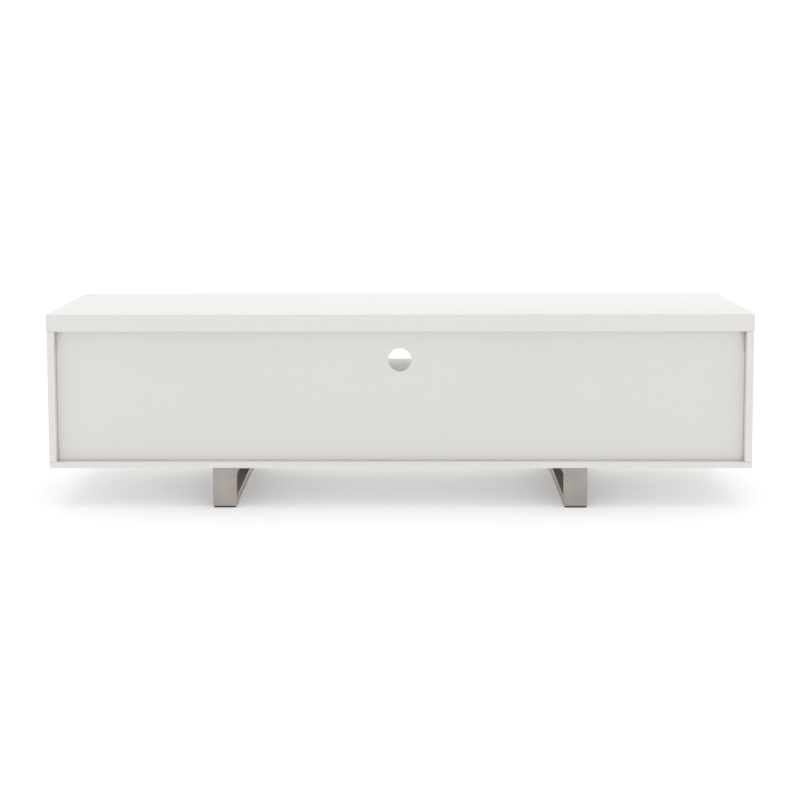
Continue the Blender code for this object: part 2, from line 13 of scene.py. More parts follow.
import bpy
import numpy as np
from mathutils import Matrix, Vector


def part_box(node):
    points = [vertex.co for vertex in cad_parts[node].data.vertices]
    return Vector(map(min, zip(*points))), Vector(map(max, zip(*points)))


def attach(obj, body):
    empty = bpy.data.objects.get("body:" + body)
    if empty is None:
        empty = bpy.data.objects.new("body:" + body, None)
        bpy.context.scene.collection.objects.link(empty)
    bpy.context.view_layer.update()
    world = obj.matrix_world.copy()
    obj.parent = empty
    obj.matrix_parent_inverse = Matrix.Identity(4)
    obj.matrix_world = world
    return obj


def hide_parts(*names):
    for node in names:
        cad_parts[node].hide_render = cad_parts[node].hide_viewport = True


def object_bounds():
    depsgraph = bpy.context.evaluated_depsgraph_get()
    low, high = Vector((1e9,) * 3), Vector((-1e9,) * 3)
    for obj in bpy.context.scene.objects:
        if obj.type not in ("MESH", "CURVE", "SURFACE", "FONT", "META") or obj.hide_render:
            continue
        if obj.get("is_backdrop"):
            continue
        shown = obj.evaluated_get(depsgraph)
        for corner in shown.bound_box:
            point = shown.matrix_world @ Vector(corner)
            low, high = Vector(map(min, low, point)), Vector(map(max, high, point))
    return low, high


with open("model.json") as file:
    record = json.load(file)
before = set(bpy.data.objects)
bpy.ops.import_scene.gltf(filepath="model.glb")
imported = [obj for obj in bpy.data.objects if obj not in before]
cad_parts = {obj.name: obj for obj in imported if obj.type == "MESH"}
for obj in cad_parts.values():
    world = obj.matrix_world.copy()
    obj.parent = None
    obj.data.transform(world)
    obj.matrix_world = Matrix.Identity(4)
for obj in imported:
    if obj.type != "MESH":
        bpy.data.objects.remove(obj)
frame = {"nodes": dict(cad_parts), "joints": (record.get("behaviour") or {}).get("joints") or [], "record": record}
cad_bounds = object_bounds()
MM = 0.001
SIDES = (("left", -1), ("right", 1))
AXES = {"x": (1, 0, 0), "y": (0, 1, 0), "z": (0, 0, 1), "-x": (-1, 0, 0), "-z": (0, 0, -1)}
BODIES = frame["record"]["behaviour"]["bodies"]
BODY_OF = {node: body for body, nodes in BODIES.items() for node in nodes}


def box_of(node):
    """A node's lowest corner, highest corner and middle, as arrays."""
    low, high = (np.array(corner, float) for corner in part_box(node))
    return low, high, (low + high) / 2


# %% [markdown]
# ## From arrays to meshes
# Every new piece is made of patches. A patch is a grid of points, rows by columns, computed as one
# array. Its columns close into a ring, its rows may close too, and open ends are shut by one flat
# face each. A patch also carries two lengths, one along the rows and one round the columns. They
# become its UV map, so that brushing can follow a bent bar. A third number marks the rounded edges,
# where a finish wears.


# %% Grid patches
def ring_faces(rows, columns, closed_rows):
    """Quads between neighbouring points: row i to i + 1, and column j to j + 1 round the ring."""
    row = np.arange(rows if closed_rows else rows - 1)
    i, j = (part.ravel() for part in np.meshgrid(row, np.arange(columns), indexing="ij"))
    i_next, j_next = (i + 1) % rows, (j + 1) % columns
    corners = (
        i * columns + j,
        i * columns + j_next,
        i_next * columns + j_next,
        i_next * columns + j,
    )
    return np.stack(corners, 1), i, j


def steps_between(line, closed):
    """Running length at each point of a line, with one more value at the end if the line closes."""
    line = np.concatenate([line, line[:1]]) if closed else line
    return np.concatenate([[0.0], np.cumsum(np.linalg.norm(np.diff(line, axis=0), axis=1))])


def patch(points, closed_rows=False, arris=0.0):
    """One closed surface from a (rows, columns, 3) grid whose columns form rings. Arris is a number
    from 0 to 1 for each point, which says how much of a rounded edge it is."""
    rows, columns, _ = points.shape
    quads, i, j = ring_faces(rows, columns, closed_rows)
    along = steps_between(points.mean(axis=1), closed_rows)
    widest = np.argmax(np.ptp(points, axis=1).sum(axis=1))
    around = steps_between(points[widest], True)
    row_ends, column_ends = (i, i, i + 1, i + 1), (j, j + 1, j + 1, j)
    lengths = [np.stack([along[a], around[b]], 1) for a, b in zip(row_ends, column_ends)]
    ends = np.arange(columns)
    return {
        "points": points.reshape(-1, 3),
        "quads": quads,
        "uv": np.stack(lengths, 1),
        "arris": np.broadcast_to(arris, (rows, columns)).ravel(),
        "caps": [] if closed_rows else [ends[::-1], ends + (rows - 1) * columns],
    }


def outward(part):
    """Turns every face round if the volume inside the quads and end faces comes out negative."""
    a, b, c, d = np.moveaxis(part["points"][part["quads"]], 1, 0)
    volume = np.einsum("ij,ij->", a, np.cross(b, c) + np.cross(c, d))
    for cap in part["caps"]:
        ring = part["points"][cap]
        volume += np.cross(ring[1:-1], ring[2:]).sum(axis=0).dot(ring[0])
    if volume < 0:
        part["quads"] = part["quads"][:, ::-1]
        part["uv"] = part["uv"][:, ::-1]
        part["caps"] = [cap[::-1] for cap in part["caps"]]
    return part


# %% [markdown]
# A piece joins one or more patches into one mesh, takes one material, rides on the body that its
# node belongs to, and stands for that node. The object stays at the origin and the place is in the
# mesh, so a pattern laid on object coordinates stays put however the piece is moved later.


# %% Pieces
def mesh_from(name, parts):
    """Joins patches: vertices one after another, each face's numbers moved up by those before."""
    start, points, faces, corner_uv, smooth, arris = 0, [], [], [], [], []
    for part in map(outward, parts):
        points.append(part["points"])
        arris.append(part["arris"])
        faces += (part["quads"] + start).tolist() + [(cap + start).tolist() for cap in part["caps"]]
        corner_uv.append(part["uv"].reshape(-1, 2))
        corner_uv += [part["points"][cap][:, :2] for cap in part["caps"]]
        smooth += [np.ones(len(part["quads"]), bool), np.zeros(len(part["caps"]), bool)]
        start += len(part["points"])
    mesh = bpy.data.meshes.new(name)
    mesh.from_pydata(np.concatenate(points).tolist(), [], faces)
    mesh.polygons.foreach_set("use_smooth", np.concatenate(smooth))
    uv_map = mesh.uv_layers.new(name="along")
    uv_map.data.foreach_set("uv", np.concatenate(corner_uv).ravel().astype(np.float32))
    mark = mesh.attributes.new("arris", "FLOAT", "POINT")
    mark.data.foreach_set("value", np.concatenate(arris).astype(np.float32))
    mesh.update()
    return mesh


def piece(name, parts, material, node, stands_for=True):
    """A finished piece in the place of a node, or an extra one that goes with it."""
    made = bpy.data.objects.new(name, mesh_from(name, parts))
    bpy.context.scene.collection.objects.link(made)
    made.data.materials.append(material)
    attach(made, BODY_OF[node])
    if stands_for:
        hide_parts(node)
    return made


# %% [markdown]
# ## The lacquer
# The boards are fibreboard under a sprayed, matt, warm white lacquer. Three things show on the real
# thing: a fine orange peel left by the spray gun, a very slow drift in tone over a long board, and
# a slightly duller, warmer arris, where the edge was rubbed down and hands have passed. Each is one
# noise or one mark in the shader. Numbers that are the same everywhere sit on the shader's own
# sockets.


# %% Materials and noise
def new_material(name, colour, roughness, metallic=0.0, **sockets):
    """A Principled material with its even values set on the shader itself."""
    material = bpy.data.materials.new(name)
    material.use_nodes = True
    shader = material.node_tree.nodes["Principled BSDF"]
    shader.inputs["Base Color"].default_value = (*colour, 1)
    shader.inputs["Roughness"].default_value = roughness
    shader.inputs["Metallic"].default_value = metallic
    for socket, value in sockets.items():
        shader.inputs[socket.replace("_", " ")].default_value = value
    return material, shader


def link(material, output, socket):
    """Joins an output to an input, in a material or in the world."""
    material.node_tree.links.new(output, socket)


def noise(material, scale, detail=2.0, stretch=(1, 1, 1), source="Object"):
    """Noise on the piece's own coordinates, or on its UV map, drawn out by a Mapping node."""
    nodes = material.node_tree.nodes
    place, mapping = nodes.new("ShaderNodeTexCoord"), nodes.new("ShaderNodeMapping")
    texture = nodes.new("ShaderNodeTexNoise")
    mapping.inputs["Scale"].default_value = stretch
    texture.inputs["Scale"].default_value = scale
    texture.inputs["Detail"].default_value = detail
    link(material, place.outputs[source], mapping.inputs["Vector"])
    link(material, mapping.outputs["Vector"], texture.inputs["Vector"])
    return texture.outputs["Fac"]


# %% [markdown]
# A noise becomes useful once it is a range of roughness, a place on a colour ramp or a height for
# the bump. Each helper adds one node and returns its output, so that a finish reads like a recipe.


# %% Shader arithmetic
def spread(material, value, low, high, start=0.3, end=0.7):
    """Maps a value from start..end to low..high."""
    remap = material.node_tree.nodes.new("ShaderNodeMapRange")
    limits = {"From Min": start, "From Max": end, "To Min": low, "To Max": high}
    for socket, number in limits.items():
        remap.inputs[socket].default_value = number
    link(material, value, remap.inputs["Value"])
    return remap.outputs["Result"]


def combined(material, operation, first, second):
    """Two values added, multiplied or subtracted, point by point."""
    node = material.node_tree.nodes.new("ShaderNodeMath")
    node.operation = operation
    link(material, first, node.inputs[0])
    link(material, second, node.inputs[1])
    return node.outputs["Value"]


def ramp(material, value, stops):
    """A colour ramp through (position, colour) stops."""
    node = material.node_tree.nodes.new("ShaderNodeValToRGB")
    elements = node.color_ramp.elements
    while len(elements) < len(stops):
        elements.new(0.5)
    for element, (position, colour) in zip(elements, stops):
        element.position = position
        element.color = (*colour, 1)
    link(material, value, node.inputs["Fac"])
    return node.outputs["Color"]


def bump(material, shader, height, strength, distance, below=None):
    """Raises the shading by a height; below is an earlier bump that this one lies on."""
    node = material.node_tree.nodes.new("ShaderNodeBump")
    node.inputs["Strength"].default_value = strength
    node.inputs["Distance"].default_value = distance
    link(material, height, node.inputs["Height"])
    if below is not None:
        link(material, below, node.inputs["Normal"])
    link(material, node.outputs["Normal"], shader.inputs["Normal"])
    return node.outputs["Normal"]


def arris_mark(material, amount):
    """The edge mark of the mesh, times an amount; a mesh without the mark reads zero."""
    mark = material.node_tree.nodes.new("ShaderNodeAttribute")
    mark.attribute_name = "arris"
    return spread(material, mark.outputs["Fac"], 0, amount, 0, 1)


# %% [markdown]
# The back panel sits set back between the sides and under the slab. It takes a copy of the lacquer a little darker
# than that of the other boards, which is painted shade for that recess.

# %% Warm white lacquer
RUBBED_TINT = (0.978, 0.972, 0.963)


def shade(colour, factor):
    """A colour with each channel times one factor."""
    return tuple(channel * factor for channel in colour)


def lacquer(name, tone):
    """Slow drift in tone, spray peel in the bump, uneven roughness, and a warmer, duller arris."""
    material, shader = new_material(name, tone, 0.42, Coat_Weight=0.1, Coat_Roughness=0.3)
    drift = noise(material, 2.2, detail=3)
    fine = noise(material, 55, detail=4)
    tone_place = spread(material, combined(material, "MULTIPLY", drift, fine), 0.25, 1, 0.15, 0.38)
    rubbed = combined(material, "SUBTRACT", tone_place, arris_mark(material, 0.25))
    warm = tuple(channel * tint for channel, tint in zip(tone, RUBBED_TINT))
    stops = [(0, warm), (0.25, shade(tone, 0.992)), (1, shade(tone, 1.006))]
    link(material, ramp(material, rubbed, stops), shader.inputs["Base Color"])
    dull = combined(material, "ADD", spread(material, fine, 0.36, 0.50), arris_mark(material, 0.08))
    link(material, dull, shader.inputs["Roughness"])
    wave = bump(material, shader, noise(material, 35, detail=1), 0.05, 0.6 * MM)
    bump(material, shader, noise(material, 420, detail=1), 0.10, 0.05 * MM, wave)
    return material


WARM_WHITE = (0.742, 0.727, 0.703)
white = lacquer("warm white lacquer", WARM_WHITE)
# The back panel's copy is 3.5 percent darker: painted shade of its recess, not a second paint.
back_white = lacquer("back panel lacquer with painted shade", shade(WARM_WHITE, 0.965))
print("lacquer:", len(white.node_tree.nodes), "shader nodes")

# %% [markdown]
# ## Boards
# A board is a box with an eased edge all round. Think of it as one outline, a rectangle with round
# corners, carried through the board's thickness: it starts a little small at one face, grows along
# a quarter circle to its full size, runs through the thickness and shrinks again. The two broad
# faces are flat end faces. Beside every round edge lies one more row of points, still on the flat.
# It holds the smooth shading in the round edge; without it the light would seem to roll across the
# whole face. A Bevel modifier with Weighted Normals does the same, but here each radius follows a
# plain formula.

# %% Rounded outlines
HOLD = 0.3 * MM
CORNER_ROOM = 1.1 * HOLD


def quarter_turns(steps):
    """The angles of a rounded rectangle's four corners, each led in and out by a point a hold's
    length along the straight. Also those points' slides, the corners' signs and the arris marks."""
    quarter = np.concatenate([[0], np.linspace(0, math.pi / 2, steps), [math.pi / 2]])
    slide = np.zeros(steps + 2)
    slide[[0, -1]] = -HOLD, HOLD
    angle = (np.arange(4)[:, None] * math.pi / 2 + quarter).ravel()
    sign_wide, sign_high = np.repeat([[1, -1, -1, 1], [1, 1, -1, -1]], steps + 2, axis=1)
    return angle, np.tile(slide, 4), sign_wide, sign_high, np.tile(slide == 0, 4)


def rounded_outline(half_wide, half_high, radius, inset=(0.0,), steps=5):
    """A rectangle with quarter circles about fixed corner centres; an inset only shortens their
    radius. Returns both coordinates as (insets, columns) arrays, and the columns' arris marks."""
    angle, slide, sign_wide, sign_high, mark = quarter_turns(steps)
    arc = radius - np.asarray(inset)[:, None]
    wide = sign_wide * (half_wide - radius) + arc * np.cos(angle) - slide * np.sin(angle)
    high = sign_high * (half_high - radius) + arc * np.sin(angle) + slide * np.cos(angle)
    return wide, high, mark


def edge_stations(thickness, edge, steps=5):
    """Inset, height and arris mark of each row: a quarter circle at each face, a flat beside it."""
    turn = np.linspace(0, math.pi / 2, steps)
    inset = np.concatenate([[edge + HOLD], edge * (1 - np.sin(turn)), [0]])
    height = np.concatenate([[0], edge * (1 - np.cos(turn)), [edge + HOLD]])
    mark = np.concatenate([[0], np.ones(steps), [0]])
    return (
        np.concatenate([inset, inset[::-1]]),
        np.concatenate([height, thickness - height[::-1]]),
        np.concatenate([mark, mark]),
    )


def board_patch(low, high, edge, corner=0.0):
    """A rounded board between two corners; its broad faces are those across its thinnest side.
    A corner's radius is always a little more than the edge's inset, so no arc turns inside out."""
    low, high = np.array(low, float), np.array(high, float)
    size, middle = high - low, (low + high) / 2
    thin = int(np.argmin(size))
    across, up = [axis for axis in range(3) if axis != thin]
    inset, height, row_mark = edge_stations(size[thin], edge)
    corner = max(edge + CORNER_ROOM, corner)
    wide, tall, column_mark = rounded_outline(size[across] / 2, size[up] / 2, corner, inset)
    points = np.empty((*wide.shape, 3))
    points[..., across] = middle[across] + wide
    points[..., up] = middle[up] + tall
    points[..., thin] = low[thin] + height[:, None]
    return patch(points, arris=np.maximum(row_mark[:, None], column_mark[None, :]))


# %% [markdown]
# The slab and the bottom panel run the full width, above and below the sides. Their eased edges
# leave the thin shadow lines that show where one board ends and the next begins. The doors have a
# softer edge, because hands touch them, and because the hinge side has to swing past the board
# beside it.

# %% Slab, bottom panel, shelves and doors
ARRIS = 0.9 * MM
TOP_ARRIS = 1.2 * MM
DOOR_EDGE = 2.0 * MM
board_edges = {
    "top_slab": TOP_ARRIS,
    "bottom_panel": ARRIS,
    "media_shelf": ARRIS,
    "left_cupboard_shelf": ARRIS,
    "right_cupboard_shelf": ARRIS,
    "left_door": DOOR_EDGE,
    "right_door": DOOR_EDGE,
    "flap": DOOR_EDGE,
}
boards = {}
for node, edge in board_edges.items():
    low, high, _ = box_of(node)
    boards[node] = piece(f"{node}_board", [board_patch(low, high, edge)], white, node)
    print(node, "edge", round(edge / MM, 1), "mm,", len(boards[node].data.polygons), "faces")

# %% [markdown]
# The side panels and the dividers are drilled with rows of small blind holes for the shelf pins.
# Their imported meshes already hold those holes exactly, so they stay as they are and only take the
# lacquer.


# %% Drilled boards keep their own mesh
def finish_node(node, material):
    """Gives a node that stays visible its material."""
    frame["nodes"][node].data.materials.clear()
    frame["nodes"][node].data.materials.append(material)


for node in ("left_side_panel", "right_side_panel", "left_divider", "right_divider"):
    finish_node(node, white)
    print(node, "keeps its", len(frame["nodes"][node].data.polygons), "faces")

# %% [markdown]
# ## The back panel and its cable hole
# The back is a wide board with one round hole near the top. Its surface can be one closed grid as
# well: every column leaves the hole at its own angle, crosses the rear face to the outline, passes
# round the outer edge, comes back over the front face and returns through the hole. The rows are
# the stations of that trip. At the outline each ray ends where it meets the rectangle, so four
# columns must point at the corners. The same trip makes the small steel strikes, whose hole is a
# cone for a countersunk screw.


# %% Boards with one hole
RAY_SPACING = math.radians(4)


def corner_angles(low, high, centre, spacing):
    """Angles all round the hole, evenly spaced between the directions of the outline's corners."""
    right, left = high[0] - centre[0], low[0] - centre[0]
    top, bottom = high[1] - centre[1], low[1] - centre[1]
    corners = ((right, top), (left, top), (left, bottom), (right, bottom))
    toward = np.unwrap([math.atan2(up, across) for across, up in corners])
    ends = np.append(toward, toward[0] + 2 * math.pi)
    counts = np.maximum(2, np.round(np.diff(ends) / spacing)).astype(int)
    spans = zip(ends, ends[1:], counts)
    return np.concatenate([np.linspace(*span, n, endpoint=False) for *span, n in spans])


def outline_reach(angle, low, high, centre, inset):
    """Where each angle's ray meets the rectangle drawn in by an inset: the nearer of two walls."""
    direction = np.stack([np.cos(angle), np.sin(angle)], 1)
    wall = np.where(direction > 0, high - centre, centre - low) - inset
    reach = wall / np.maximum(np.abs(direction), 1e-9)
    return direction * reach.min(axis=1)[:, None]


def holed_patch(low, high, centre, edge, hole_stations, spacing=RAY_SPACING):
    """A board whose thin side is Y. Its rows follow the outline's edge stations and then the
    hole's, which are radii, depths and arris marks."""
    flat_low, flat_high, centre = np.array(low)[[0, 2]], np.array(high)[[0, 2]], np.array(centre)
    angle = corner_angles(flat_low, flat_high, centre, spacing)
    inset, depth, mark = edge_stations(high[1] - low[1], edge)
    rim = np.stack([outline_reach(angle, flat_low, flat_high, centre, i) for i in inset])
    radius, hole_depth, hole_mark = hole_stations
    circle = np.stack([np.cos(angle), np.sin(angle)], 1)
    flat = np.concatenate([rim, radius[:, None, None] * circle])
    y = np.broadcast_to(low[1] + np.concatenate([depth, hole_depth])[:, None], flat.shape[:2])
    points = np.stack([centre[0] + flat[..., 0], y, centre[1] + flat[..., 1]], 2)
    return patch(points, closed_rows=True, arris=np.concatenate([mark, hole_mark])[:, None])


# %% [markdown]
# The hole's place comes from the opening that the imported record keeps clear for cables. Its rim is
# eased like the board's edges: the same quarter circle, with its round side to the hole.

# %% Back panel
HOLE_EASE = 0.8 * MM
BACK_EDGE = 1.6 * MM
HOLE_RADIUS = 30 * MM
openings = {opening["name"]: opening["box_m"] for opening in frame["record"]["physics"]["openings"]}
hole_box = np.array(openings["cable_hole"])
low, high, _ = box_of("back_panel")
ease, ease_depth, ease_mark = edge_stations(high[1] - low[1], HOLE_EASE)
hole = (HOLE_RADIUS + ease[::-1], ease_depth[::-1], ease_mark)
back_patch = holed_patch(low, high, hole_box.mean(axis=0)[[0, 2]], BACK_EDGE, hole)
back = piece("back_panel_board", [back_patch], back_white, "back_panel")
hole_width = round(2 * HOLE_RADIUS / MM)
print("back panel:", len(back.data.polygons), "faces, hole", hole_width, "mm across")

# %% [markdown]
# ## Brushed steel
# The legs are stainless flat tube with a brushed finish. Brushing is many fine scratches in one
# direction, along each bar, so a highlight stretches across them. The scratches come from noise
# drawn out along the UV map's first length, which runs along the bar. They drive a little of the
# colour, more of the roughness, and a very shallow bump. Broad soft patches stand for handling, and
# the rounded edges are rubbed brighter.


# %% Brushed metals
def brushed(name, dark, light, roughness, stretch=(0.012, 1, 1), source="UV"):
    """Metal whose scratches are noise squeezed across the bar and drawn out along it."""
    material, shader = new_material(name, light, roughness, 1.0, Anisotropic=0.4)
    scratch = noise(material, 2600, detail=3, stretch=stretch, source=source)
    patches = noise(material, 14, detail=3)
    grain = spread(material, combined(material, "ADD", scratch, patches), 0, 0.75, 0.75, 1.25)
    rubbed = combined(material, "ADD", grain, arris_mark(material, 0.3))
    link(material, ramp(material, rubbed, [(0, dark), (1, light)]), shader.inputs["Base Color"])
    uneven = spread(material, scratch, roughness * 0.8, roughness * 1.3)
    link(material, uneven, shader.inputs["Roughness"])
    bump(material, shader, scratch, 0.25, 0.02 * MM)
    return material


def follow_bar(material):
    """Lines the stretched highlight up with the UV map's first length."""
    tangent = material.node_tree.nodes.new("ShaderNodeTangent")
    tangent.direction_type = "UV_MAP"
    tangent.uv_map = "along"
    shader = material.node_tree.nodes["Principled BSDF"]
    link(material, tangent.outputs["Tangent"], shader.inputs["Tangent"])


steel = brushed("brushed steel", (0.350, 0.320, 0.295), (0.470, 0.432, 0.400), 0.34)
follow_bar(steel)
ANODISED = ((0.56, 0.55, 0.54), (0.70, 0.69, 0.68), 0.28)
upright_aluminium = brushed("anodised aluminium upright", *ANODISED, (1, 1, 0.012), "Object")
level_aluminium = brushed("anodised aluminium level", *ANODISED, (0.012, 1, 1), "Object")
print("brushed metals: 3")

# %% [markdown]
# ## Sled legs
# Each leg is one rectangular tube, cut at 45 degrees, welded into a closed loop and ground flush.
# As a surface it is a rounded-rectangle profile carried round a rectangular path. A point of the
# profile that lies further out simply runs round a larger rectangle, and that alone makes true
# mitres at the corners. The path's length goes round the loop, so the brushing turns the corner
# with the bar.

# %% Leg loops
BAR_THICKNESS = 20 * MM
PROFILE_CORNER = 1.8 * MM
LOOP_CORNER = 1.0 * MM


def loop_patch(low, high):
    """The profile's points are the columns. Each runs round its own rounded rectangle, whose
    points are the rows."""
    middle, half = (low + high) / 2, (high - low) / 2
    out, across, mark = rounded_outline(BAR_THICKNESS / 2, half[0], PROFILE_CORNER, steps=7)
    angle, slide, sign_y, sign_z, _ = (part[:, None] for part in quarter_turns(5))
    half_y = half[1] - BAR_THICKNESS / 2 + out - LOOP_CORNER
    half_z = half[2] - BAR_THICKNESS / 2 + out - LOOP_CORNER
    y = middle[1] + sign_y * half_y + LOOP_CORNER * np.cos(angle) - slide * np.sin(angle)
    z = middle[2] + sign_z * half_z + LOOP_CORNER * np.sin(angle) + slide * np.cos(angle)
    x = np.broadcast_to(middle[0] + across, y.shape)
    return patch(np.stack([x, y, z], 2), closed_rows=True, arris=mark[None, :])


legs = {}
for word, _ in SIDES:
    low, high, _ = box_of(f"{word}_leg_frame")
    legs[word] = piece(f"{word}_sled_leg", [loop_patch(low, high)], steel, f"{word}_leg_frame")
    size = np.round((high - low) / MM)
    print(word, "leg loop", size, "mm,", len(legs[word].data.polygons), "faces")

# %% [markdown]
# ## Glides
# Under each end of a leg sits a dark felt pad, so that steel never touches the floor. Felt is matt
# and a little fuzzy: one fine noise stands for its fibres, and it both breaks up the tone and
# roughens the surface. A pad has soft edges.


# %% Felt glides
def felt(name):
    """Dark and matt; one fibre noise gives both the tones and the bump."""
    material, shader = new_material(name, (0.055, 0.052, 0.050), 0.95, Sheen_Weight=0.25)
    fibres = noise(material, 1400, detail=4)
    tones = ramp(material, fibres, [(0.25, (0.030, 0.028, 0.027)), (0.75, (0.085, 0.080, 0.076))])
    link(material, tones, shader.inputs["Base Color"])
    bump(material, shader, fibres, 0.6, 0.3 * MM)
    return material


GLIDE_EDGE = 1.2 * MM
GLIDE_CORNER = 3 * MM
dark_felt = felt("dark felt")
for word, _ in SIDES:
    for end in ("front", "rear"):
        node = f"{word}_{end}_glide"
        low, high, _ = box_of(node)
        piece(f"{node}_pad", [board_patch(low, high, GLIDE_EDGE, GLIDE_CORNER)], dark_felt, node)
        print(node, "pad", np.round((high - low) / MM), "mm")

# %% [markdown]
# ## Turned hardware
# Screws, shelf pins, pivot pins and bushes are turned pieces: a profile of radius against height,
# spun about an axis. The grid's rows follow the profile and its columns go round. Each sharp corner
# of a profile is cut back along a small curve, as a lathe tool leaves it. A six-lobed key socket
# comes from letting the radius of a few rows swell and shrink six times a turn.


# %% Zinc and moulded finishes
def zinc(name):
    """Bright plating that clouds in patches, with a pickled grain under it."""
    material, shader = new_material(name, (0.60, 0.61, 0.63), 0.30, 1.0)
    cloud = noise(material, 300, detail=4)
    tones = ramp(material, cloud, [(0.3, (0.50, 0.51, 0.53)), (0.7, (0.68, 0.69, 0.70))])
    link(material, tones, shader.inputs["Base Color"])
    link(material, spread(material, cloud, 0.22, 0.42), shader.inputs["Roughness"])
    bump(material, shader, noise(material, 2200), 0.15, 0.02 * MM)
    return material


def moulded(name, tone):
    """Moulded plastic: nearly even in tone, with a fine spark-eroded grain."""
    material, shader = new_material(name, tone, 0.5)
    cloud = noise(material, 90, detail=2)
    tones = ramp(material, cloud, [(0.3, shade(tone, 0.95)), (0.7, tone)])
    link(material, tones, shader.inputs["Base Color"])
    link(material, spread(material, cloud, 0.45, 0.56), shader.inputs["Roughness"])
    bump(material, shader, noise(material, 1800, detail=3), 0.3, 0.03 * MM)
    return material


zinc_steel = zinc("zinc plated steel")
nylon = moulded("white nylon", (0.82, 0.81, 0.78))
catch_plastic = moulded("catch housing plastic", (0.70, 0.69, 0.66))
print("finishes:", ", ".join(finish.name for finish in (zinc_steel, nylon, catch_plastic)))

# %% [markdown]
# One function makes every turned piece. A profile that ends on the axis stops at a tiny tip radius,
# and a flat face closes it there, so the surface has no pole where the shading would pinch.

# %% Turned surfaces
TURN_COLUMNS = 48
LOBES, LOBE_SWELL = 6, 0.125
TIP = 0.2 * MM
LATHE_CUT = 0.25 * MM
MOST_OF_SIDE = 0.3
HOLD_SHARE = 1.5


def eased(points, cut, closed=False):
    """Each corner C becomes the curve through (A + 2 C + B) / 4 between points A and B, which lie a
    cut back on either side, but never more than a set part of that side. Two more points, half as
    far again, hold it. Returns the new line, and the corner that each of its points came from."""
    points = np.array(points, float)
    corner, before, after = points, np.roll(points, 1, axis=0), np.roll(points, -1, axis=0)
    number = np.arange(len(points))
    if not closed:
        corner, before, after, number = corner[1:-1], before[1:-1], after[1:-1], number[1:-1]

    def towards(other, share):
        step = other - corner
        length = np.linalg.norm(step, axis=1, keepdims=True)
        return corner + step * np.minimum(cut / length, MOST_OF_SIDE) * share

    start, end = towards(before, 1), towards(after, 1)
    middle = (start + 2 * corner + end) / 4
    hold_start, hold_end = towards(before, HOLD_SHARE), towards(after, HOLD_SHARE)
    line = np.stack([hold_start, start, middle, end, hold_end], 1).reshape(-1, 2)
    number = np.repeat(number, 5)
    if closed:
        return line, number
    line = np.concatenate([points[:1], line, points[-1:]])
    return line, np.concatenate([[0], number, [len(points) - 1]])


def turned_patch(profile, place, axis, cut=LATHE_CUT, lobed=(), closed=False):
    """Spins (radius, height) about an axis through place: place + r (cos t side + sin t other)
    + h axis. Lobed corners of the profile swell by an eighth of their radius, six times a turn."""
    line, number = eased(profile, cut, closed)
    angle = np.linspace(0, 2 * math.pi, TURN_COLUMNS, endpoint=False)
    swell = 1 + LOBE_SWELL * np.isin(number, lobed)[:, None] * np.cos(LOBES * angle)
    radius = (line[:, :1] * swell)[..., None]
    axis = np.array(axis, float)
    side = np.roll(axis, 1)
    other = np.cross(axis, side)
    round_it = np.cos(angle)[:, None] * side + np.sin(angle)[:, None] * other
    points = np.array(place, float) + radius * round_it + line[:, 1][:, None, None] * axis
    return patch(points, closed_rows=closed)


def deep_end(node, axis):
    """The end of a node's box that an axis starts from, and the length along it."""
    low, high, middle = box_of(node)
    length = np.abs(high - low).dot(np.abs(axis))
    return middle - np.array(axis) * length / 2, length


# %% [markdown]
# The frame gives each piece's box, and that is all a turned piece needs: the axis is the box's long
# side, and the steps of the profile are the sizes that a maker would buy. The leg screws are seen
# only from below, under the cabinet; the shelf pins show when a cupboard is open.

# %% Leg screws and shelf pins
SHANK, HEAD, HEAD_FACE, HEAD_HEIGHT = 2.5 * MM, 5 * MM, 4.25 * MM, 3 * MM
HEAD_SHOULDER = 0.6 * HEAD_HEIGHT
SOCKET, SOCKET_DEPTH, POINT = 1.8 * MM, 1.8 * MM, 2.5 * MM
COLLAR, COLLAR_LENGTH, SHELF_PIN_CUT = 3.5 * MM, 7.7 * MM, 0.5 * MM


def screw_patch(node):
    """A pan-head screw that points up, with a lobed socket in its head."""
    foot, length = deep_end(node, AXES["z"])
    profile = [
        (TIP, SOCKET_DEPTH),
        (SOCKET, SOCKET_DEPTH),
        (SOCKET, 0),
        (HEAD_FACE, 0),
        (HEAD, HEAD_SHOULDER),
        (HEAD, HEAD_HEIGHT),
        (SHANK, HEAD_HEIGHT),
        (SHANK, length - POINT),
        (TIP, length),
    ]
    return turned_patch(profile, foot, AXES["z"], lobed=(1, 2))


def shelf_pin_patch(node, axis):
    """A shank in the board and a collar that carries the shelf."""
    foot, length = deep_end(node, axis)
    shank_end = length - COLLAR_LENGTH
    shank = [(TIP, 0), (SHANK, 0), (SHANK, shank_end)]
    collar = [(COLLAR, shank_end), (COLLAR, length), (TIP, length)]
    return turned_patch(shank + collar, foot, axis, cut=SHELF_PIN_CUT)


for word, side in SIDES:
    for number in range(1, 5):
        node = f"{word}_leg_screw_{number}"
        piece(f"{node}_turned", [screw_patch(node)], zinc_steel, node)
    for row in ("front", "rear"):
        for face, out in (("outer", -side), ("inner", side)):
            node = f"{word}_shelf_pin_{row}_{face}"
            piece(f"{node}_turned", [shelf_pin_patch(node, (out, 0, 0))], zinc_steel, node)
print("turned: 8 leg screws and 8 shelf pins")

# %% [markdown]
# ## Pivots
# Doors and flap turn on six millimetre steel pins in flanged nylon bushes. A bush's profile closes
# on itself, because the piece is a ring, and a pin's runs from tip to tip with a collar part of the
# way. The flange and the collar are the only bits that show, in the three millimetre gap beside the
# door.

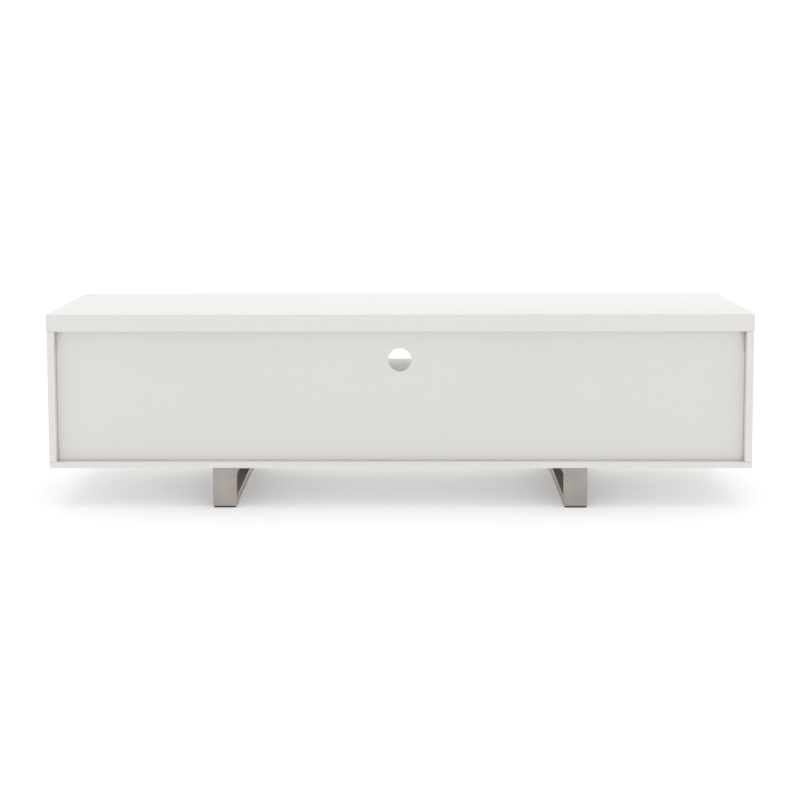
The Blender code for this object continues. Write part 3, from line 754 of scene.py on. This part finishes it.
# %% Pins and bushes
PIN, PIN_COLLAR, BORE, BUSH, FLANGE = 3 * MM, 5 * MM, 3.1 * MM, 5 * MM, 7 * MM
FLANGE_HEIGHT = 0.9 * MM
TIP_TO_COLLAR, COLLAR_HEIGHT = 9.5 * MM, 1.2 * MM
pivots = {"flap_left": "x", "flap_right": "-x"}
for word, _ in SIDES:
    pivots[f"{word}_door_bottom"] = "z"
    pivots[f"{word}_door_top"] = "-z"


def bush_patch(node, axis):
    """A sleeve with a bore, and a flange at its far end."""
    foot, length = deep_end(node, axis)
    rim = length - FLANGE_HEIGHT
    ring = [(BORE, 0), (BUSH, 0), (BUSH, rim), (FLANGE, rim), (FLANGE, length), (BORE, length)]
    return turned_patch(ring, foot, axis, closed=True)


def pin_patch(node, axis):
    """A plain pin with one collar part of the way along."""
    foot, length = deep_end(node, axis)
    near, far = TIP_TO_COLLAR, TIP_TO_COLLAR + COLLAR_HEIGHT
    tip = [(TIP, 0), (PIN, 0), (PIN, near), (PIN_COLLAR, near)]
    tail = [(PIN_COLLAR, far), (PIN, far), (PIN, length), (TIP, length)]
    return turned_patch(tip + tail, foot, axis)


for label, axis in pivots.items():
    bush, pin = f"{label}_bush", f"{label}_pin"
    piece(f"{bush}_turned", [bush_patch(bush, AXES[axis])], nylon, bush)
    piece(f"{pin}_turned", [pin_patch(pin, AXES[axis])], zinc_steel, pin)
print("pivots:", sorted(pivots))

# %% [markdown]
# ## Drilling
# A bush, a pin or a screw sits in a hole, so the boards are drilled for them. A hole at a board's
# edge doesn't fit the outline grid, and a Boolean cuts it in one go: the cutters are turned rods, a
# little wider than the fitting and a little deeper. The result replaces the mesh, and the cutter
# goes. A leg's top rail has stepped holes: a wide one below, through which the screw goes in, and
# one for its shank above.

# %% Drill the boards and the legs
ACCESS = 6.5 * MM
SLACK = 0.15 * MM
PAST_END = 1 * MM
drillings = {
    "bottom_panel": [(f"{word}_door_bottom_bush", "z", BUSH) for word, _ in SIDES]
    + [(f"{word}_leg_screw_{number}", "-z", SHANK) for word, _ in SIDES for number in range(1, 5)],
    "top_slab": [(f"{word}_door_top_bush", "-z", BUSH) for word, _ in SIDES],
    "left_door": [("left_door_bottom_pin", "-z", PIN), ("left_door_top_pin", "z", PIN)],
    "right_door": [("right_door_bottom_pin", "-z", PIN), ("right_door_top_pin", "z", PIN)],
    "flap": [("flap_left_pin", "-x", PIN), ("flap_right_pin", "x", PIN)],
}


def rod_patch(node, axis, radius):
    """The hole for a fitting: a rod wider by the slack, which goes on past the fitting's deep end."""
    foot, length = deep_end(node, axis)
    radius += SLACK
    profile = [(TIP, -PAST_END), (radius, -PAST_END), (radius, length), (TIP, length)]
    return turned_patch(profile, foot, axis)


def stepped_patch(screw, rail_underside):
    """The hole for one leg screw, from below the rail, past the seat of its head, to its tip."""
    foot, length = deep_end(screw, AXES["z"])
    start, bore = rail_underside - PAST_END - foot[2], SHANK + SLACK
    wide = [(TIP, start), (ACCESS, start), (ACCESS, HEAD_HEIGHT)]
    narrow = [(bore, HEAD_HEIGHT), (bore, length), (TIP, length)]
    return turned_patch(wide + narrow, foot, AXES["z"])


def drill(board, rods):
    """Takes the rods out of a piece for good."""
    cutter = bpy.data.objects.new("rods", mesh_from("rods", rods))
    bpy.context.scene.collection.objects.link(cutter)
    cut = board.modifiers.new("Drill", "BOOLEAN")
    cut.operation = "DIFFERENCE"
    cut.object = cutter
    graph = bpy.context.evaluated_depsgraph_get()
    drilled = bpy.data.meshes.new_from_object(board.evaluated_get(graph))
    board.modifiers.remove(cut)
    board.data = drilled
    bpy.data.objects.remove(cutter)


for node, fittings in drillings.items():
    rods = [rod_patch(fitting, AXES[axis], radius) for fitting, axis, radius in fittings]
    drill(boards[node], rods)
    print(node, "drilled for", len(fittings), "fittings:", len(boards[node].data.polygons), "faces")
for word, leg in legs.items():
    underside = box_of(f"{word}_leg_frame")[1][2] - BAR_THICKNESS
    drill(leg, [stepped_patch(f"{word}_leg_screw_{number}", underside) for number in range(1, 5)])
    print(leg.name, "drilled:", len(leg.data.polygons), "faces")

# %% [markdown]
# ## Grip channels
# The doors have no handles. Behind each finger gap an aluminium angle hides the inside of the
# cupboard and gives the gap a clean metal lining. Its section is an L with eased corners, drawn out
# along the board. The one over the flap is notched round a catch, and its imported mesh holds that
# notch, so it stays.


# %% Grip channels
def drawn_patch(section, low, high):
    """A section in X and Y carried straight up from low to high."""
    points = np.empty((2, len(section), 3))
    points[..., :2] = section
    points[..., 2] = np.array([[low], [high]])
    return patch(points)


WALL = 1.5 * MM
LIP = 0.4 * MM
for word, side in SIDES:
    node = f"{word}_grip_channel"
    low, high, _ = box_of(node)
    near, far = (high[0], low[0]) if side < 0 else (low[0], high[0])
    near_inside, back_inside = near + side * WALL, high[1] - WALL
    outside = [(near, low[1]), (near, high[1]), (far, high[1])]
    inside = [(far, back_inside), (near_inside, back_inside), (near_inside, low[1])]
    section, _ = eased(outside + inside, LIP, closed=True)
    piece(f"{node}_drawn", [drawn_patch(section, low[2], high[2])], upright_aluminium, node)
finish_node("flap_grip_channel", level_aluminium)
print("grip channels: 3")

# %% [markdown]
# ## Stays and guides
# The flap is held level by two quarter-circle stays. Because a stay is an arc about the flap's own
# axis, it can slide through a fixed guide while it turns with the flap. Its surface is a small
# rounded bar section carried along that arc. A screwed foot ties it to the flap and a stop pin at
# its end meets the guide.

# %% Quadrant stays
flap_joint = next(joint for joint in frame["joints"] if joint["name"] == "flap_hinge")
_, FLAP_Y, FLAP_Z = flap_joint["pos_m"]
STAY_WIDTH, STAY_THICKNESS, STAY_EDGE = 6 * MM, 2 * MM, 0.5 * MM
FOOT_WIDTH, FOOT_ABOVE, FOOT_BELOW = 14 * MM, 7 * MM, 14 * MM
FOOT_EDGE, FOOT_CORNER = 0.3 * MM, 2 * MM
STOP_RADIUS, STOP_WIDTH = 2 * MM, 5 * MM
PAN_HEAD = ((0.2, 0.45), (0.9, 0.45), (0.9, 1.0), (1.8, 0.85), (2.5, 0.35), (2.6, 0), (0.2, 0))
PAN_CUT, PAN_MARGIN, PAN_SHARE = 0.12 * MM, 4.5 * MM, 0.55


def arc_patch(x, radius, start, end, steps=64):
    """A rounded bar section carried along an arc about the flap's axis. Its angles run from
    straight up towards the back."""
    out, across, mark = rounded_outline(STAY_WIDTH / 2, STAY_THICKNESS / 2, STAY_EDGE, steps=4)
    angle = np.linspace(start, end, steps)[:, None]
    reach = radius + out
    y, z = FLAP_Y + reach * np.sin(angle), FLAP_Z + reach * np.cos(angle)
    return patch(np.stack([np.broadcast_to(x + across, y.shape), y, z], 2), arris=mark[None, :])


def pan_head_patch(place, axis):
    """A small screw head that lies on a plate; its profile is listed in millimetres."""
    return turned_patch(np.array(PAN_HEAD) * MM, place, axis, cut=PAN_CUT, lobed=(1, 2))


def stay_patches(word, side):
    """The arc, its foot, its stop and the two screws in the foot."""
    low, high, _ = box_of(f"{word}_stay")
    radius = high[2] - FOOT_ABOVE - FLAP_Z
    stop_end = high[0] if side > 0 else low[0]
    x = stop_end - side * STOP_WIDTH / 2
    foot_outer = x + side * STAY_THICKNESS / 2
    stop = math.pi / 2 + math.asin((FLAP_Z - low[2] - STOP_RADIUS) / radius)
    end = stop + STOP_RADIUS / radius / 2
    start = math.asin((low[1] + STAY_THICKNESS / 2 - FLAP_Y) / radius)
    foot_x = sorted((foot_outer, foot_outer - side * FOOT_WIDTH))
    foot_z = (FLAP_Z + radius - FOOT_BELOW, high[2])
    foot_rear = low[1] + STAY_THICKNESS
    foot_corners = (foot_x[0], low[1], foot_z[0]), (foot_x[1], foot_rear, foot_z[1])
    foot = board_patch(*foot_corners, FOOT_EDGE, FOOT_CORNER)
    stop_y, stop_z = FLAP_Y + radius * math.sin(stop), FLAP_Z + radius * math.cos(stop)
    rod = [(TIP, 0), (STOP_RADIUS, 0), (STOP_RADIUS, STOP_WIDTH), (TIP, STOP_WIDTH)]
    stop_pin = turned_patch(rod, (x - STOP_WIDTH / 2, stop_y, stop_z), AXES["x"])
    screw_x = foot_outer - side * FOOT_WIDTH * PAN_SHARE
    screws = [
        pan_head_patch((screw_x, foot_rear, z), AXES["y"])
        for z in (foot_z[0] + PAN_MARGIN, foot_z[1] - PAN_MARGIN)
    ]
    return [arc_patch(x, radius, start, end), foot, stop_pin, *screws]


for word, side in SIDES:
    stay = piece(f"{word}_quadrant_stay", stay_patches(word, side), zinc_steel, f"{word}_stay")
    finish_node(f"{word}_stay_guide", zinc_steel)
    print(stay.name, len(stay.data.polygons), "faces")

# %% [markdown]
# ## Magnetic catches
# A catch is a plastic housing with a magnet between two steel plates, whose ends reach just past
# its front. The strike that it holds is a steel plate on the back of the door, under one
# countersunk screw.

# %% Catches and strikes
POLE, POLE_PROUD, POLE_DEPTH, POLE_LIFT = 2.0 * MM, 0.3 * MM, 6 * MM, 3 * MM
POLE_HALF_WIDTH, POLE_EDGE = 14 * MM, 0.2 * MM
SINK_TOP, SINK_FOOT, SINK_SPACING = 3.2 * MM, 1.8 * MM, math.radians(7.5)
SINK_GAP, SINK_CUT = 0.1 * MM, 0.08 * MM
KEY, KEY_DEPTH = 1.0 * MM, 0.8 * MM
HOUSING_EDGE, HOUSING_CORNER, STRIKE_EDGE = 0.8 * MM, 1.6 * MM, 0.35 * MM


def pole_patches(low, high, middle):
    """Two plates, one above and one below the magnet, a little proud of the housing's front."""
    half = min((high - low)[0] / 2 - POLE, POLE_HALF_WIDTH)
    return [
        board_patch(
            (middle[0] - half, low[1] - POLE_PROUD, z - POLE / 2),
            (middle[0] + half, low[1] + POLE_DEPTH, z + POLE / 2),
            POLE_EDGE,
        )
        for z in (middle[2] - POLE_LIFT, middle[2] + POLE_LIFT)
    ]


def strike_patches(low, high, middle):
    """A plate with a conical hole, wide at the rear, and the screw head that all but fills it."""
    thick = high[1] - low[1]
    radius = np.array([SINK_TOP + HOLD, SINK_TOP, SINK_FOOT, SINK_FOOT + HOLD])
    depth = np.array([thick, thick, 0, 0])
    stations = (radius, depth, np.zeros(len(depth)))
    plate = holed_patch(low, high, middle[[0, 2]], STRIKE_EDGE, stations, SINK_SPACING)
    face = thick - SINK_GAP
    head = [(TIP, SINK_GAP), (SINK_FOOT - SINK_GAP, SINK_GAP), (SINK_TOP - SINK_GAP, face)]
    socket = [(KEY, face), (KEY, face - KEY_DEPTH), (TIP, face - KEY_DEPTH)]
    place = (middle[0], low[1], middle[2])
    return [plate, turned_patch(head + socket, place, AXES["y"], cut=SINK_CUT, lobed=(3, 4))]


leaves = ("left_door", "right_door", "flap")
for leaf in leaves:
    strike, catch = f"{leaf}_strike", f"{leaf}_catch"
    low, high, middle = box_of(catch)
    housing = board_patch(low, high, HOUSING_EDGE, HOUSING_CORNER)
    piece(f"{catch}_housing", [housing], catch_plastic, catch)
    piece(f"{catch}_poles", pole_patches(low, high, middle), zinc_steel, catch, stands_for=False)
    piece(f"{strike}_plate", strike_patches(*box_of(strike)), zinc_steel, strike)
print("catches:", len(leaves))

# %% [markdown]
# ## The studio
# The stand is shown on a pale table that glows a little from below, as product tables do, so that
# its own shade stays light. The sky is one soft box of light: even all round, brighter overhead,
# and with a low glow on the door side that reaches into the open niche. Two ramps on the height of
# each direction make it.

# %% Floor and light
FLOOR_SIZE, FLOOR_GLOW, FLOOR_GREY = 60, 0.22, (0.8, 0.8, 0.8)
SKY_PEAK = 1.75
ALL_ROUND = ((0.0, 1.03), (0.42, 1.0), (0.52, 0.8), (0.80, 0.9), (0.93, 1.5), (1.0, SKY_PEAK))
DOOR_SIDE = ((0.0, 0.9), (0.12, 0.8), (0.22, 0.35), (0.42, 0.2), (0.6, 0.0))
DOOR_FADE = (-0.4, 0.1)


def pale_floor():
    """One plane with no gloss, lit by the sky and by a little light of its own."""
    bpy.ops.mesh.primitive_plane_add(size=FLOOR_SIZE)
    floor = bpy.context.object
    floor.name = "studio_floor"
    material, shader = new_material("pale studio floor", FLOOR_GREY, 0.9, Specular_IOR_Level=0.0)
    shader.inputs["Emission Color"].default_value = (1, 1, 1, 1)
    shader.inputs["Emission Strength"].default_value = FLOOR_GLOW
    floor.data.materials.append(material)
    floor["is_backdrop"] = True


def soft_sky():
    """Brightness against the sine of the elevation, the height of a direction of length one."""
    world = bpy.data.worlds.new("soft sky")
    world.use_nodes = True
    nodes = world.node_tree.nodes
    place, direction = nodes.new("ShaderNodeTexCoord"), nodes.new("ShaderNodeSeparateXYZ")
    link(world, place.outputs["Generated"], direction.inputs["Vector"])

    def by_height(stops):
        greys = [(height, (strength / SKY_PEAK,) * 3) for height, strength in stops]
        return spread(world, ramp(world, direction.outputs["Z"], greys), 0, SKY_PEAK, 0, 1)

    doors = spread(world, direction.outputs["Y"], 1, 0, *DOOR_FADE)
    glow = combined(world, "MULTIPLY", by_height(DOOR_SIDE), doors)
    brightness = combined(world, "ADD", by_height(ALL_ROUND), glow)
    link(world, brightness, nodes["Background"].inputs["Strength"])
    nodes["Background"].inputs["Color"].default_value = (1, 1, 1, 1)
    bpy.context.scene.world = world


pale_floor()
soft_sky()
bpy.context.scene.view_settings.view_transform = "Standard"
print("sky: brightest", SKY_PEAK, "overhead; floor glow", FLOOR_GLOW)

# %% [markdown]
# ## The camera
# The camera stands behind the stand, a little above it, with a long lens. It looks down only
# slightly, and a small lens shift brings the stand to the middle of the frame, so the uprights stay
# nearly parallel.

# %% Camera
CAMERA_PLACE = (-0.0316, 3.7793, 0.9848)
LOOK_DOWN, TURN, ROLL = math.radians(4.748), math.radians(0.488), math.radians(0.113)
LENS, SENSOR, SHIFT = 63.58, 36, -0.2
view = bpy.data.cameras.new("camera")
view.lens, view.sensor_width, view.shift_y = LENS, SENSOR, SHIFT
camera = bpy.data.objects.new("camera", view)
camera.matrix_world = (
    Matrix.Translation(CAMERA_PLACE)
    @ Matrix.Rotation(math.pi + TURN, 4, "Z")
    @ Matrix.Rotation(math.pi / 2 - LOOK_DOWN, 4, "X")
    @ Matrix.Rotation(-ROLL, 4, "Z")
)
bpy.context.scene.collection.objects.link(camera)
bpy.context.scene.camera = camera
print("camera:", LENS, "mm lens at", CAMERA_PLACE)

# %% Gather and print the sizes
sizes = {"cad": cad_bounds, "visual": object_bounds()}
sizes = {name: [[float(number) for number in corner] for corner in bounds] for name, bounds in sizes.items()}
print("sizes:", sizes)
